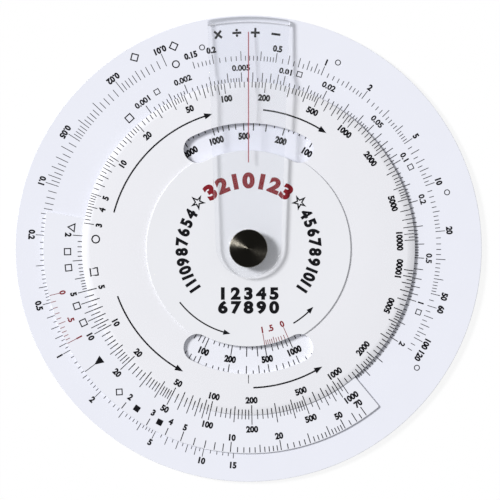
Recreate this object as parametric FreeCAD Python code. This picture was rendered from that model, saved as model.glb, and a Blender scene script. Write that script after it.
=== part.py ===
# Circular slide rule: printed discs and a clear cursor that turn on one pivot.
# Millimetres. The pivot axis is Z, the back rests on z = 0 and the cursor points along +Y.
# Angles are read clockwise from +Y, as on a dial.
import FreeCAD, Part
import os
from math import cos, degrees, radians, sin

from FreeCAD import Vector

# Outlines of the printed discs
base_radius = 60.0
middle_setback = 1.8
tab_radius = 52.75
tab_start = 140.35
tab_end = 280.4
tab_corner = 0.4
upper_radius = 42.8
hub_radius = 26.3
hub_bevel = 0.2

# Windows and the slot below the upper one
window_inner = 25.2
window_outer = 32.25
window_half_angle = 34.3
slot_margin = 0.6
slot_half_angle = 80.0

# Thicknesses of the stack
backing_thick = 1.2
base_sheet_thick = 0.5
middle_thick = 0.5
hub_sheet_thick = 0.4
slip_film = 0.06
slip_radius = 11.0

# Upper disc: thin rim, steep bevel, then a slow taper up to the hub sheet
upper_edge_thick = 0.25
bevel_width = 2.1
bevel_rise = 0.5
taper_rise = 0.4

# Base rim
rim_chamfer = 0.12

# Pivot
sleeve_radius = 2.0
sleeve_bore = 1.3
running_gap = 0.05
screw_gap = 0.03
screw_head_radius = 4.0
screw_head_thick = 0.6
screw_slot_width = 0.8
screw_slot_depth = 0.3
screw_reach = 0.5
screw_sink = 0.1
back_washer_margin = 0.2
back_washer_thick = 0.15
recess_gap = 0.3

# Cap
cap_radius = 4.925
cap_thick = 1.15
cap_chamfer = 0.15
cap_skirt = 0.45
cap_skirt_gap = 0.1
wave_room = 0.32

# Cursor: flat over the upper disc, then bent down towards the base
cursor_thick = 1.0
cursor_lift = 1.1
cursor_end_radius = 8.4
cursor_end_offset = 1.0
cursor_tip_half_width = 10.6
cursor_tip_gap = 0.4
cursor_tip_corner = 0.5
cursor_bend_setback = 3.9
cursor_bend_radius = 4.0
cursor_bend_angle = 18.0
cursor_tip_slope = 2.6
cursor_tab_gap = 0.89
cursor_rib_width = 1.3
cursor_rib_gap = 0.12
cursor_edge_round = 0.15

# Small parts round the pivot
spacer_radius = 4.4
cap_slip_gap = 0.375
wave_sleeve_gap = 0.4
wave_skirt_gap = 0.575
wave_thick = 0.12
wave_height = 0.3
wave_count = 3
points_per_wave = 8

# How near an edge must lie to count as being on a face
tolerance = 0.01

# Radii worked out from what they fit
middle_radius = upper_radius - middle_setback
hole_radius = sleeve_radius + running_gap
screw_radius = sleeve_bore - screw_gap
back_washer_radius = screw_head_radius + back_washer_margin
recess_radius = back_washer_radius + recess_gap
cap_skirt_inner = cap_radius - cap_skirt
cap_slip_radius = cap_skirt_inner - cap_slip_gap
wave_inner = sleeve_radius + wave_sleeve_gap
wave_outer = cap_skirt_inner - wave_skirt_gap
cursor_reach = base_radius - cursor_tip_gap
cursor_bend_start = upper_radius - cursor_bend_setback

# Levels worked out from the thicknesses
base_top = backing_thick + base_sheet_thick
middle_bottom = base_top + slip_film
middle_top = middle_bottom + middle_thick
upper_bottom = middle_top + slip_film
upper_top = upper_bottom + upper_edge_thick + bevel_rise + taper_rise
hub_top = upper_top + hub_sheet_thick
cursor_bottom = hub_top + cursor_lift
cursor_top = cursor_bottom + cursor_thick
cap_slip_top = cursor_top + slip_film
cap_seat = cap_slip_top + wave_room
cap_top = cursor_top + cap_skirt_gap + cap_thick
screw_head_top = screw_sink + screw_head_thick
recess_depth = screw_head_top + back_washer_thick
cursor_outer_bottom = middle_top + cursor_tab_gap


def at(radius, angle, z=0.0):
    a = radians(angle)
    return Vector(radius * sin(a), radius * cos(a), z)


def disc(radius, bottom, thick):
    return Part.makeCylinder(radius, thick, Vector(0, 0, bottom))


def ring(outer, inner, bottom, thick):
    return disc(outer, bottom, thick).cut(disc(inner, bottom, thick))


def turned(profile):
    """A solid of revolution about Z from (radius, height) corners."""
    points = [Vector(r, 0, z) for r, z in profile]
    face = Part.Face(Part.makePolygon(points + points[:1]))
    return face.revolve(Vector(0, 0, 0), Vector(0, 0, 1), 360)


def prism(edges, bottom, thick):
    wire = Part.Wire(Part.__sortEdges__(edges))
    wire.translate(Vector(0, 0, bottom))
    return Part.Face(wire).extrude(Vector(0, 0, thick))


def arc_edge(radius, start, end):
    middle = (start + end) / 2
    return Part.Arc(at(radius, start), at(radius, middle), at(radius, end)).toShape()


def sector(outer, start, end, bottom, thick):
    centre = Vector(0, 0, 0)
    edges = [
        Part.LineSegment(centre, at(outer, start)).toShape(),
        arc_edge(outer, start, end),
        Part.LineSegment(at(outer, end), centre).toShape(),
    ]
    return prism(edges, bottom, thick)


def curved_slot(inner, outer, centre_angle, half_angle, bottom, thick):
    """A slot along an arc, with full round ends that reach the half angle."""
    mid = (inner + outer) / 2
    round_angle = degrees((outer - inner) / 2 / mid)
    start = centre_angle - half_angle + round_angle
    end = centre_angle + half_angle - round_angle
    edges = [
        arc_edge(outer, start, end),
        arc_edge(inner, start, end),
        Part.Arc(at(inner, start), at(mid, start - round_angle), at(outer, start)).toShape(),
        Part.Arc(at(inner, end), at(mid, end + round_angle), at(outer, end)).toShape(),
    ]
    return prism(edges, bottom, thick)


def round_upright_edges(shape, radius, wanted):
    """Fillets the straight edges along Z whose middle passes the test."""
    edges = []
    for edge in shape.Edges:
        low, high = edge.BoundBox.ZMin, edge.BoundBox.ZMax
        if high - low > 0.9 * shape.BoundBox.ZLength and wanted(edge.CenterOfMass):
            edges.append(edge)
    return shape.makeFillet(radius, edges)


def windows(bottom, thick):
    top = curved_slot(window_inner, window_outer, 0, window_half_angle, bottom, thick)
    low = curved_slot(window_inner, window_outer, 180, window_half_angle, bottom, thick)
    return top.fuse(low)


def base_backing():
    blank = turned([
        (0, 0),
        (base_radius - rim_chamfer, 0),
        (base_radius, rim_chamfer),
        (base_radius, backing_thick),
        (0, backing_thick),
    ])
    blank = blank.cut(disc(recess_radius, 0, recess_depth))
    return blank.cut(disc(hole_radius, 0, backing_thick))


def base_scale_sheet():
    return turned([
        (hole_radius, backing_thick),
        (base_radius, backing_thick),
        (base_radius, base_top - rim_chamfer),
        (base_radius - rim_chamfer, base_top),
        (hole_radius, base_top),
    ])


def middle_disc():
    tab = sector(tab_radius, tab_start, tab_end, middle_bottom, middle_thick)
    tab = round_upright_edges(tab, tab_corner, lambda p: p.Length > middle_radius)
    blank = tab.fuse(disc(middle_radius, middle_bottom, middle_thick)).removeSplitter()
    slot = curved_slot(window_inner - slot_margin, window_outer + slot_margin, 0,
                       slot_half_angle, middle_bottom, middle_thick)
    return blank.cut(slot).cut(disc(hole_radius, middle_bottom, middle_thick))


def upper_disc():
    edge_top = upper_bottom + upper_edge_thick
    blank = turned([
        (hole_radius, upper_bottom),
        (upper_radius, upper_bottom),
        (upper_radius, edge_top),
        (upper_radius - bevel_width, edge_top + bevel_rise),
        (hub_radius, upper_top),
        (hole_radius, upper_top),
    ])
    return blank.cut(windows(upper_bottom, upper_top - upper_bottom))


def hub_sheet():
    blank = turned([
        (hole_radius, upper_top),
        (hub_radius, upper_top),
        (hub_radius, hub_top - hub_bevel),
        (hub_radius - hub_bevel, hub_top),
        (hole_radius, hub_top),
    ])
    return blank.cut(windows(upper_top, hub_sheet_thick))


def cursor_side_line(side):
    """One face of the bent cursor seen from the side: 1 is its top and -1 its underside."""
    bend = radians(cursor_bend_angle)
    slope = radians(cursor_tip_slope)
    middle_height = (cursor_bottom + cursor_top) / 2
    arcs_drop = cursor_bend_radius * (1 + cos(slope) - 2 * cos(bend))
    ramp = (cursor_bottom - cursor_outer_bottom - arcs_drop) / sin(bend)
    shift = side * cursor_thick / 2
    first_radius = cursor_bend_radius + shift
    second_radius = cursor_bend_radius - shift

    def away(angle):
        return Vector(0, sin(angle), cos(angle))

    first_centre = Vector(0, cursor_bend_start, middle_height - cursor_bend_radius)
    ramp_run = Vector(0, cos(bend), -sin(bend)) * ramp
    second_centre = first_centre + away(bend) * 2 * cursor_bend_radius + ramp_run
    heel = Vector(0, -2 * cursor_end_radius, middle_height + shift)
    first = [first_centre + away(bend * part) * first_radius for part in (0, 0.5, 1)]
    turns = (bend, (bend + slope) / 2, slope)
    second = [second_centre - away(turn) * second_radius for turn in turns]
    tip = second[-1] + Vector(0, cos(slope), -sin(slope)) * base_radius
    edges = [
        Part.LineSegment(heel, first[0]).toShape(),
        Part.Arc(*first).toShape(),
        Part.LineSegment(first[-1], second[0]).toShape(),
        Part.Arc(*second).toShape(),
        Part.LineSegment(second[-1], tip).toShape(),
    ]
    return heel, edges, tip


def cursor_side_solid(edges):
    width = 4 * cursor_tip_half_width
    wire = Part.Wire(Part.__sortEdges__(edges))
    wire.translate(Vector(-width / 2, 0, 0))
    return Part.Face(wire).extrude(Vector(width, 0, 0))


def cursor_outline():
    """The cursor seen from above: round end at the pivot, straight sides, rim arc at the tip."""
    tip_angle = degrees(cursor_tip_half_width / cursor_reach)
    tip_right = at(cursor_reach, tip_angle)
    tip_left = at(cursor_reach, -tip_angle)
    centre = Vector(0, cursor_end_offset, 0)
    lean = degrees((tip_right.x - cursor_end_radius) / (tip_right.y - centre.y))
    foot_right = centre + at(cursor_end_radius, 90 + lean)
    foot_left = Vector(-foot_right.x, foot_right.y, 0)
    heel = centre - Vector(0, cursor_end_radius, 0)
    edges = [
        Part.Arc(foot_left, heel, foot_right).toShape(),
        Part.LineSegment(foot_right, tip_right).toShape(),
        Part.Arc(tip_left, Vector(0, cursor_reach, 0), tip_right).toShape(),
        Part.LineSegment(tip_left, foot_left).toShape(),
    ]
    blank = prism(edges, 0, 2 * cursor_top)
    return round_upright_edges(blank, cursor_tip_corner, lambda p: p.y > cursor_reach / 2)


def cursor_plate():
    """The bent plate, with a rib under its tip that keeps it level over the base."""
    outline = cursor_outline()
    low_heel, low_edges, low_tip = cursor_side_line(-1)
    high_heel, high_edges, high_tip = cursor_side_line(1)
    ends = [
        Part.LineSegment(low_heel, high_heel).toShape(),
        Part.LineSegment(low_tip, high_tip).toShape(),
    ]
    plate = cursor_side_solid(low_edges + high_edges + ends).common(outline)
    rib_bottom = base_top + cursor_rib_gap
    heel_foot = Vector(0, high_heel.y, rib_bottom)
    tip_foot = Vector(0, high_tip.y, rib_bottom)
    down = [
        Part.LineSegment(high_heel, heel_foot).toShape(),
        Part.LineSegment(heel_foot, tip_foot).toShape(),
        Part.LineSegment(tip_foot, high_tip).toShape(),
    ]
    rib = ring(cursor_reach, cursor_reach - cursor_rib_width, 0, 2 * cursor_top)
    rib = rib.common(outline).common(cursor_side_solid(high_edges + down))
    plate = plate.fuse(rib).removeSplitter()
    plate = plate.cut(disc(hole_radius, 0, 2 * cursor_top))
    top_line = Part.Wire(Part.__sortEdges__(high_edges))

    def rims_the_top(edge):
        middle = edge.CenterOfMass
        across = edge.BoundBox.YLength < tolerance
        seen_from_side = Part.Vertex(Vector(0, middle.y, middle.z))
        edge_of_hole = at(0, 0, middle.z).distanceToPoint(middle) < hole_radius + tolerance
        on_top = top_line.distToShape(seen_from_side)[0] < tolerance
        return on_top and not across and not edge_of_hole

    return plate.makeFillet(cursor_edge_round, [e for e in plate.Edges if rims_the_top(e)])


def pivot_cap():
    skirt_bottom = cursor_top + cap_skirt_gap
    bore_top = cap_seat + screw_reach
    return turned([
        (0, bore_top),
        (sleeve_bore, bore_top),
        (sleeve_bore, cap_seat),
        (cap_skirt_inner, cap_seat),
        (cap_skirt_inner, skirt_bottom),
        (cap_radius, skirt_bottom),
        (cap_radius, cap_top - cap_chamfer),
        (cap_radius - cap_chamfer, cap_top),
        (0, cap_top),
    ])


def back_screw():
    head = disc(screw_head_radius, screw_sink, screw_head_thick)
    shank_top = cap_seat + screw_reach
    shank = disc(screw_radius, screw_head_top, shank_top - screw_head_top)
    slot = Part.makeBox(2 * screw_head_radius, screw_slot_width, screw_slot_depth,
                        Vector(-screw_head_radius, -screw_slot_width / 2, screw_sink))
    return head.fuse(shank).removeSplitter().cut(slot)


def wave_washer():
    """A spring ring whose height follows a sine around the pivot."""
    middle = cap_slip_top + wave_room / 2 - wave_thick / 2
    swing = (wave_height - wave_thick) / 2
    steps = points_per_wave * wave_count

    def wavy(radius):
        points = []
        for i in range(steps):
            turn = 360 * i / steps
            points.append(at(radius, turn, middle + swing * sin(radians(turn * wave_count))))
        curve = Part.BSplineCurve()
        curve.interpolate(points, True)
        return curve.toShape()

    face = Part.makeRuledSurface(wavy(wave_inner), wavy(wave_outer))
    return face.extrude(Vector(0, 0, wave_thick))


parts = {
    "base_backing": base_backing(),
    "base_scale_sheet": base_scale_sheet(),
    "lower_slip_washer": ring(slip_radius, hole_radius, base_top, slip_film),
    "middle_disc": middle_disc(),
    "middle_slip_washer": ring(slip_radius, hole_radius, middle_top, slip_film),
    "upper_disc": upper_disc(),
    "hub_sheet": hub_sheet(),
    "cursor_spacer": ring(spacer_radius, hole_radius, hub_top, cursor_lift),
    "cursor_plate": cursor_plate(),
    "cap_slip_washer": ring(cap_slip_radius, hole_radius, cursor_top, slip_film),
    "wave_washer": wave_washer(),
    "pivot_cap": pivot_cap(),
    "pivot_sleeve": ring(sleeve_radius, sleeve_bore, screw_head_top, cap_seat - screw_head_top),
    "back_washer": ring(back_washer_radius, hole_radius, screw_head_top, back_washer_thick),
    "back_screw": back_screw(),
}

os.makedirs("parts", exist_ok=True)
for name, shape in parts.items():
    shape.exportStep("parts/" + name + ".step")
    box = shape.BoundBox
    print(name, shape.isValid(), len(shape.Solids), round(shape.Volume, 2),
          [round(v, 2) for v in (box.XMin, box.YMin, box.ZMin, box.XMax, box.YMax, box.ZMax)])
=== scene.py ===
import math

import bpy
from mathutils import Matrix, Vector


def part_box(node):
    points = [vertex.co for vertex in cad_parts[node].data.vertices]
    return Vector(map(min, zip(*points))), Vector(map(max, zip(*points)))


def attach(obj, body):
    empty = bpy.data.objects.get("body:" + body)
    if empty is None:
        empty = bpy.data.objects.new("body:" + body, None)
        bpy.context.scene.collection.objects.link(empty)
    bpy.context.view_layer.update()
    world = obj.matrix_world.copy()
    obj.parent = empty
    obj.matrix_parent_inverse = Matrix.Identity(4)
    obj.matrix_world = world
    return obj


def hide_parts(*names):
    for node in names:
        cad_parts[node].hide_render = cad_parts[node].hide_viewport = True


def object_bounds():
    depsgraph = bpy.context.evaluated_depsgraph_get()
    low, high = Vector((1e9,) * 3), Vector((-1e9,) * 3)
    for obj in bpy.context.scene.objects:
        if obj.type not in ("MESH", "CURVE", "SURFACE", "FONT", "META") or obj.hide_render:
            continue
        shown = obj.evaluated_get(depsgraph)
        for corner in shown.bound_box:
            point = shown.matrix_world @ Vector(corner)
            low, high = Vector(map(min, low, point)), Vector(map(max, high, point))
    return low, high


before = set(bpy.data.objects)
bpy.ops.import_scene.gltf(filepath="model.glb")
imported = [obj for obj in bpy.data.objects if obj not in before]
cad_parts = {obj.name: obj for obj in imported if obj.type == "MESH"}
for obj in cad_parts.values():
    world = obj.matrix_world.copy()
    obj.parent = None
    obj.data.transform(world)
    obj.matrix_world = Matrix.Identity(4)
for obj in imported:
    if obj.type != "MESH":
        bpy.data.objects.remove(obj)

# Looks of the circular slide rule, in metres. The pivot axis is Z and the cursor points along +Y.
# Dial angles are in degrees, clockwise from +Y.

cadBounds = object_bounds()
mm = 0.001
hair = 0.002 * mm  # what counts as the same place
throughAll = (-1 * mm, 9 * mm)  # bottom and top of a cutter
lampTurn = 292  # dial angle that the light comes from


# Working in edit mode

def putDown():
    if bpy.context.mode != "OBJECT":
        bpy.ops.object.mode_set(mode="OBJECT")
    bpy.ops.object.select_all(action="DESELECT")


def workOn(piece):
    putDown()
    piece.select_set(True)
    bpy.context.view_layer.objects.active = piece


def pickNone(piece, kind):
    workOn(piece)
    bpy.ops.object.mode_set(mode="EDIT")
    bpy.ops.mesh.select_mode(type=kind)
    bpy.ops.mesh.select_all(action="DESELECT")
    bpy.ops.object.mode_set(mode="OBJECT")


def pickFaces(piece, wanted):
    pickNone(piece, "FACE")
    for face in piece.data.polygons:
        face.select = wanted(face)
    bpy.ops.object.mode_set(mode="EDIT")


def pickEdges(piece, wanted):
    pickNone(piece, "EDGE")
    points = piece.data.vertices
    for edge in piece.data.edges:
        a, b = (points[i].co for i in edge.vertices)
        edge.select = wanted(a, b)
    bpy.ops.object.mode_set(mode="EDIT")


def pickTopEdges(piece, height):
    pickEdges(piece, lambda a, b: min(a.z, b.z) > height - hair)


# The upright edges that stand at these corners, given as (x, y)
def pickCornerEdges(piece, corners):
    pickEdges(piece, lambda a, b: abs(a.z - b.z) > hair and any(
        math.dist((a.x, a.y), corner) < hair for corner in corners))


def pickAll(piece):
    workOn(piece)
    bpy.ops.object.mode_set(mode="EDIT")
    bpy.ops.mesh.select_all(action="SELECT")


def extrude(x, y, z):
    bpy.ops.mesh.extrude_region_move(TRANSFORM_OT_translate={"value": (x, y, z)})


def bevelPicked(width, segments):
    bpy.ops.mesh.bevel(offset=width, segments=segments, affect="EDGES")


def facesUp(face):
    return face.normal.z > 0.99


def facesDown(face):
    return face.normal.z < -0.99


def applyPlace(piece):
    workOn(piece)
    bpy.ops.object.transform_apply(location=True, rotation=True, scale=True)


def applyModifier(piece, kind, **settings):
    workOn(piece)
    modifier = piece.modifiers.new(kind.title(), kind)
    for name, value in settings.items():
        setattr(modifier, name, value)
    bpy.ops.object.modifier_apply(modifier=modifier.name)


def cutWith(piece, cutter, operation="DIFFERENCE"):
    applyModifier(piece, "BOOLEAN", operation=operation, object=cutter, solver="EXACT")
    bpy.data.objects.remove(cutter)


def roundEdges(piece, width, segments=2, sharp=40):
    applyModifier(piece, "BEVEL", width=width, segments=segments, limit_method="ANGLE",
                  angle_limit=math.radians(sharp), harden_normals=False)


def smoothShade(piece, sharp=30):
    workOn(piece)
    bpy.ops.object.shade_smooth_by_angle(angle=math.radians(sharp))
    applyModifier(piece, "WEIGHTED_NORMAL", keep_sharp=True)  # flat faces look flat beside rounded edges


def onDial(radius, angle):
    turn = math.radians(angle)
    return radius * math.sin(turn), radius * math.cos(turn)


# Draws a flat outline point by point and fills it. A move is a line, (dx, dy), or an arc,
# (centre, angle, steps), that turns clockwise where the angle is positive.
def drawOutline(name, start, moves):
    putDown()
    bpy.ops.mesh.primitive_plane_add(size=mm)  # shrinks to the first point
    outline = bpy.context.object
    outline.name = name
    bpy.ops.object.mode_set(mode="EDIT")
    bpy.ops.mesh.select_mode(type="VERT")
    bpy.ops.mesh.select_all(action="SELECT")
    bpy.ops.mesh.merge(type="CENTER")
    bpy.ops.transform.translate(value=(start[0], start[1], 0))
    for move in moves:
        if len(move) == 2:
            extrude(move[0], move[1], 0)
        else:
            (x, y), angle, steps = move
            bpy.ops.mesh.spin(steps=steps, angle=math.radians(angle), center=(x, y, 0), axis=(0, 0, 1))
    bpy.ops.mesh.select_all(action="SELECT")
    bpy.ops.mesh.remove_doubles(threshold=hair)
    bpy.ops.mesh.edge_face_add()
    return outline


def extrudeFlat(outline, bottom, top):
    pickAll(outline)
    bpy.ops.transform.translate(value=(0, 0, bottom))
    extrude(0, 0, top - bottom)
    bpy.ops.mesh.select_all(action="SELECT")
    bpy.ops.mesh.normals_make_consistent(inside=False)
    return outline


def makeDisc(name, radius, bottom, top, sides=256):
    putDown()
    bpy.ops.mesh.primitive_cylinder_add(vertices=sides, radius=radius, depth=top - bottom,
                                        location=(0, 0, (bottom + top) / 2))
    disc = bpy.context.object
    disc.name = name
    applyPlace(disc)
    return disc


# Materials

class Wire:
    # An output socket with arithmetic. Each operation adds a Math node.
    def __init__(self, finish, socket):
        self.finish = finish
        self.socket = socket

    def maths(self, operation, left, right=0.0):
        return self.finish.node("ShaderNodeMath", {"operation": operation}, {0: left, 1: right})

    def __add__(self, other):
        return self.maths("ADD", self, other)

    def __radd__(self, other):
        return self.maths("ADD", other, self)

    def __sub__(self, other):
        return self.maths("SUBTRACT", self, other)

    def __rsub__(self, other):
        return self.maths("SUBTRACT", other, self)

    def __mul__(self, other):
        return self.maths("MULTIPLY", self, other)

    def __rmul__(self, other):
        return self.maths("MULTIPLY", other, self)

    def __pow__(self, other):
        return self.maths("POWER", self, other)

    def size(self):
        return self.maths("ABSOLUTE", self)

    # 0 below the first value, 1 above the second
    def between(self, low, high):
        return self.finish.node("ShaderNodeMapRange", {"clamp": True},
                                {"Value": self, "From Min": low, "From Max": high})


class Wiring:
    # The nodes of a material or of the world, ending in its output
    def __init__(self, owner, outputKind):
        owner.use_nodes = True
        self.tree = owner.node_tree
        self.tree.nodes.clear()
        self.end = self.tree.nodes.new(outputKind)

    def show(self, wire):
        self.setInput(self.end.inputs["Surface"], wire)

    def setInput(self, socket, value):
        if isinstance(value, Wire):
            self.tree.links.new(value.socket, socket)
        else:
            socket.default_value = value

    # Adds a node: its settings first, then the values or links of its inputs
    def node(self, kind, settings=None, inputs=None, output=0):
        made = self.tree.nodes.new(kind)
        for name, value in (settings or {}).items():
            setattr(made, name, value)
        for name, value in (inputs or {}).items():
            self.setInput(made.inputs[name], value)
        return Wire(self, made.outputs[output])

    # 1 where the ray is of one of these kinds
    def rayIs(self, *kinds):
        path = self.node("ShaderNodeLightPath").socket.node.outputs
        return sum(Wire(self, path[f"Is {kind} Ray"]) for kind in kinds).between(0.0, 1.0)

    # 1 for what the camera sees straight or through glass
    def inSight(self):
        scattered = self.node("ShaderNodeLightPath", output="Diffuse Depth")
        return (self.rayIs("Camera", "Transmission") - scattered).between(0.0, 1.0)


class Finish(Wiring):
    # A material with one Principled shader. Constants go on the shader's own sockets.
    def __init__(self, name, **constants):
        self.material = bpy.data.materials.new(name)
        super().__init__(self.material, "ShaderNodeOutputMaterial")
        self.shader = self.node("ShaderNodeBsdfPrincipled")
        self.show(self.shader)
        for socketName, value in constants.items():
            self.feed(socketName, value)

    def feed(self, socketName, value):
        words = {"specular": "Specular IOR Level", "transmission": "Transmission Weight",
                 "colour": "Base Color", "ior": "IOR", "grainTurn": "Anisotropic Rotation"}
        self.setInput(self.shader.socket.node.inputs[words.get(socketName, socketName.title())], value)

    def place(self):
        return self.node("ShaderNodeTexCoord", output="Object")

    def noise(self, size, detail=2.0, roughness=0.5, stretch=(1, 1, 1)):
        where = self.node("ShaderNodeMapping", {}, {"Vector": self.place(), "Scale": stretch})
        return self.node("ShaderNodeTexNoise", {}, {"Vector": where, "Scale": 1 / size, "Detail": detail,
                                                    "Roughness": roughness})

    def axes(self):
        apart = self.node("ShaderNodeSeparateXYZ", {}, {0: self.place()})
        outputs = apart.socket.node.outputs
        return [Wire(self, outputs[i]) for i in range(3)]

    # Distance from the pivot axis, in metres
    def fromPivot(self):
        x, y, z = self.axes()
        return (x * x + y * y) ** 0.5

    def mix(self, share, first, second):
        made = self.tree.nodes.new("ShaderNodeMix")
        made.data_type = "RGBA"
        self.setInput(made.inputs["Factor"], share)
        self.setInput(made.inputs[6], first)
        self.setInput(made.inputs[7], second)
        return Wire(self, made.outputs[2])

    def bump(self, height, depth):
        self.feed("normal", self.node("ShaderNodeBump", {}, {"Height": height, "Distance": depth}))


def shade(colour, times):
    return tuple(c * times for c in colour[:3]) + (1,)


# White printed plastic: even colour with the faint cloudiness of the sheet, a slightly uneven gloss,
# and a rim greyed where it is handled, which on the tab dial is also painted shade along its edge
sheetLook = {
    "specular": 0.5,
    "ior": 1.5,
    "cloudSize": 9 * mm,
    "cloudSpread": (0.3, 0.7),
    "cloudiness": 0.012,
    "scuffSize": 1.6 * mm,
    "scuffSpread": (0.35, 0.7),
    "rimWidth": 0.35 * mm,
    "rimGrey": 0.25,
    "greyShade": 0.8,
    "roughness": 0.42,
    "unevenGloss": 0.12,
    "grainSize": 0.5 * mm,
    "grainDepth": 0.004 * mm,
}
sheetColours = {
    "base": (0.826, 0.838, 0.916, 1),
    "middle": (0.83, 0.84, 0.905, 1),
    "upper": (0.825, 0.827, 0.868, 1),
    "hub": (0.821, 0.827, 0.864, 1),
    "backing": (0.82, 0.83, 0.86, 1),
}


def printedPlastic(which, rim, **changes):
    look = dict(sheetLook, colour=sheetColours[which], **changes)
    sheet = Finish(f"{which}Plastic", specular=look["specular"], ior=look["ior"])
    clouds = sheet.noise(look["cloudSize"], detail=3.0)
    scuffs = sheet.noise(look["scuffSize"], detail=4.0, roughness=0.65)
    # Greyed rim band: handling wear, and on the tab dial also painted shade along the edge
    wornAndShadedRim = sheet.fromPivot().between(rim - look["rimWidth"], rim) * scuffs.between(*look["scuffSpread"])
    cloudy, grey = shade(look["colour"], 1 - look["cloudiness"]), shade(look["colour"], look["greyShade"])
    plain = sheet.mix(clouds.between(*look["cloudSpread"]), cloudy, look["colour"])
    sheet.feed("colour", sheet.mix(wornAndShadedRim * look["rimGrey"], plain, grey))
    sheet.feed("roughness", look["roughness"] + (scuffs - 0.5) * look["unevenGloss"])
    sheet.bump(sheet.noise(look["grainSize"]), look["grainDepth"])
    return sheet.material


inkLook = {
    "specular": 0.1,
    "ior": 1.5,
    "skipSize": 0.35 * mm,
    "skipSpread": (0.45, 0.8),
    "roughness": 0.6,
    "unevenGloss": 0.2,
    "skipDepth": 0.002 * mm,
}
# Each ink where it is dense, and where it is thin
inkColours = {
    "black": ((0.004, 0.004, 0.006, 1), (0.014, 0.014, 0.018, 1)),
    "red": ((0.22, 0.011, 0.018, 1), (0.28, 0.03, 0.04, 1)),
    "hairline": ((0.38, 0.11, 0.14, 1), (0.44, 0.16, 0.19, 1)),
}


# Screen-printed ink: dense, a little thinner where the squeegee skipped
def printedInk(which):
    ink = Finish(f"{which}Ink", specular=inkLook["specular"], ior=inkLook["ior"])
    skips = ink.noise(inkLook["skipSize"], detail=3.0)
    ink.feed("colour", ink.mix(skips.between(*inkLook["skipSpread"]), *inkColours[which]))
    ink.feed("roughness", inkLook["roughness"] + (skips - 0.5) * inkLook["unevenGloss"])
    ink.bump(skips, inkLook["skipDepth"])
    return ink.material


# Cast acrylic: clear, with light from the lamp let through its faces and held back by its edges
cursorLook = {
    "colour": (0.965, 0.972, 0.985, 1),
    "ior": 1.49,
    "shadowTint": (0.965, 0.968, 0.975, 1),
    "throughFar": 0.3,  # what an edge turned away from the lamp lets through
    "throughNear": 0.5,
    "facingLamp": (0.3, 0.9),
    "flatness": (0.55, 0.95),
    "scratchSize": 0.9 * mm,
    "scratchStretch": (1, 0.12, 1),
    "scratchSpread": (0.62, 0.85),
    "scratchRoughness": 0.03,
}


def clearPlastic(name, look):
    clear = Finish(name, transmission=1.0, ior=look["ior"], colour=look["colour"])
    scratches = clear.noise(look["scratchSize"], detail=5.0, roughness=0.7, stretch=look["scratchStretch"])
    clear.feed("roughness", scratches.between(*look["scratchSpread"]) * look["scratchRoughness"])
    normal = clear.node("ShaderNodeNewGeometry", output="Normal")
    outwards = 1 - clear.node("ShaderNodeNewGeometry", output="Backfacing") * 2
    towardsLamp = outwards * clear.node("ShaderNodeVectorMath", {"operation": "DOT_PRODUCT"},
                                        {0: normal, 1: (*onDial(1, lampTurn), 0)}, output="Value")
    moreNear = look["throughNear"] - look["throughFar"]
    throughEdge = look["throughFar"] + towardsLamp.between(*look["facingLamp"]) * moreNear
    upright = clear.node("ShaderNodeSeparateXYZ", {}, {0: normal}, output=2).size()
    through = throughEdge + upright.between(*look["flatness"]) * (1 - throughEdge)
    straight = (clear.rayIs("Diffuse") + clear.rayIs("Shadow") * through).between(0.0, 1.0)
    passed = clear.node("ShaderNodeBsdfTransparent", {}, {0: look["shadowTint"]})
    clear.show(clear.node("ShaderNodeMixShader", {}, {0: straight, 1: clear.shader, 2: passed}))
    return clear.material


# Metal turned on a lathe: fine rings about the pivot, with painted shade in their grooves
def turnedMetal(name, look):
    metal = Finish(name, metallic=1.0, anisotropic=look["anisotropy"], grainTurn=look["grainTurn"])
    distance, height = metal.fromPivot(), metal.axes()[2]
    rings = metal.node("ShaderNodeTexNoise", {"noise_dimensions": "1D"},
                       {"W": distance, "Scale": 1 / look["ringWidth"], "Detail": 3.0, "Roughness": 0.7})
    stains = metal.noise(look["stainSize"], detail=3.0)
    # The low parts of the rings are painted darker: painted shade in the grooves
    shadedGroove = shade(look["colour"], look["grooveShade"])
    turned = metal.mix(rings.between(*look["ringSpread"]), shadedGroove, look["colour"])
    # Bright metal at the upper outer edge: wear of the finish, and on the cap also a painted highlight along
    # its rim
    edge = distance.between(look["wearAndHighlightFrom"], look["wearAndHighlightFrom"] + look["wearAndHighlightBlend"])
    upper = height.between(look["wearAndHighlightAbove"], look["wearAndHighlightAbove"] + look["wearAndHighlightBlend"])
    wearAndHighlight = edge * upper * stains.between(*look["wearAndHighlightSpread"])
    metal.feed("colour", metal.mix(wearAndHighlight, turned, look["wearAndHighlightColour"]))
    metal.feed("roughness", look["roughness"] + (stains - 0.5) * look["unevenGloss"])
    metal.bump(rings, look["ringDepth"])
    return metal.material


capLook = {
    "colour": (0.08, 0.074, 0.062, 1),
    "grooveShade": 0.6,
    "ringSpread": (0.3, 0.7),
    "ringWidth": 0.08 * mm,
    "ringDepth": 0.006 * mm,
    # Bright edge of the cap: worn finish and a painted highlight around the rim
    "wearAndHighlightColour": (0.55, 0.54, 0.5, 1),
    "wearAndHighlightFrom": 4.79 * mm,
    "wearAndHighlightAbove": 7.02 * mm,
    "wearAndHighlightBlend": 0.02 * mm,
    "wearAndHighlightSpread": (0.2, 0.5),
    "anisotropy": 0.9,
    "grainTurn": 0.25,
    "roughness": 0.34,
    "unevenGloss": 0.35,
    "stainSize": 0.8 * mm,
}
screwLook = dict(
    capLook, colour=(0.52, 0.52, 0.53, 1), ringWidth=0.25 * mm, wearAndHighlightColour=(0.75, 0.75, 0.76, 1),
    wearAndHighlightFrom=3.85 * mm, wearAndHighlightAbove=0.0, anisotropy=0.5, roughness=0.28, unevenGloss=0.1, stainSize=1.2 * mm)
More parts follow.
